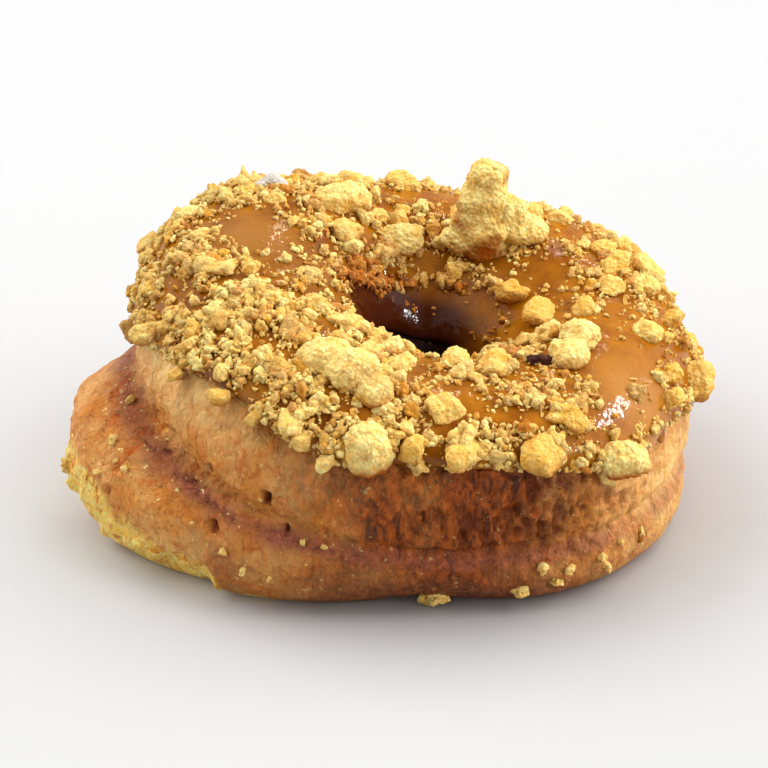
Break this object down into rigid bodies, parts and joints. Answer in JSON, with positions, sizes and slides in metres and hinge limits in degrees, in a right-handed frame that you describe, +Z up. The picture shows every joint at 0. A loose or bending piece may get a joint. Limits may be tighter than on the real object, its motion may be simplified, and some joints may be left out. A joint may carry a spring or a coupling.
{
  "type": "iced ring doughnut",
  "caption": "Raised ring doughnut with a folded, torn lobe low on one side, a glossy caramel icing over its top and a coarse crumble topping.",
  "frame": {"origin": "on the resting surface, under the middle of the bounding box", "axes": "+Z up; +X along the longest side, away from the torn lobe; -Y towards the side that the picture shows"},
  "size_m": [0.0954, 0.0892, 0.0478],
  "materials": {
    "crust": "fried crust, satin, brown with paler and darker patches",
    "caramel": "wet gloss, slightly translucent",
    "crumble": "dry, rough, pale baked crumble"
  },
  "bodies": {
    "root": {"dough": "crust", "caramel_icing": "caramel", "crumble_chunk_1": "crumble", "crumble_chunk_2": "crumble", "crumble_chunk_3": "crumble", "crumble_chunk_4": "crumble", "crumble_chunk_5": "crumble", "crumble_chunk_6": "crumble", "crumble_chunk_7": "crumble"}
  },
  "joints": []
}
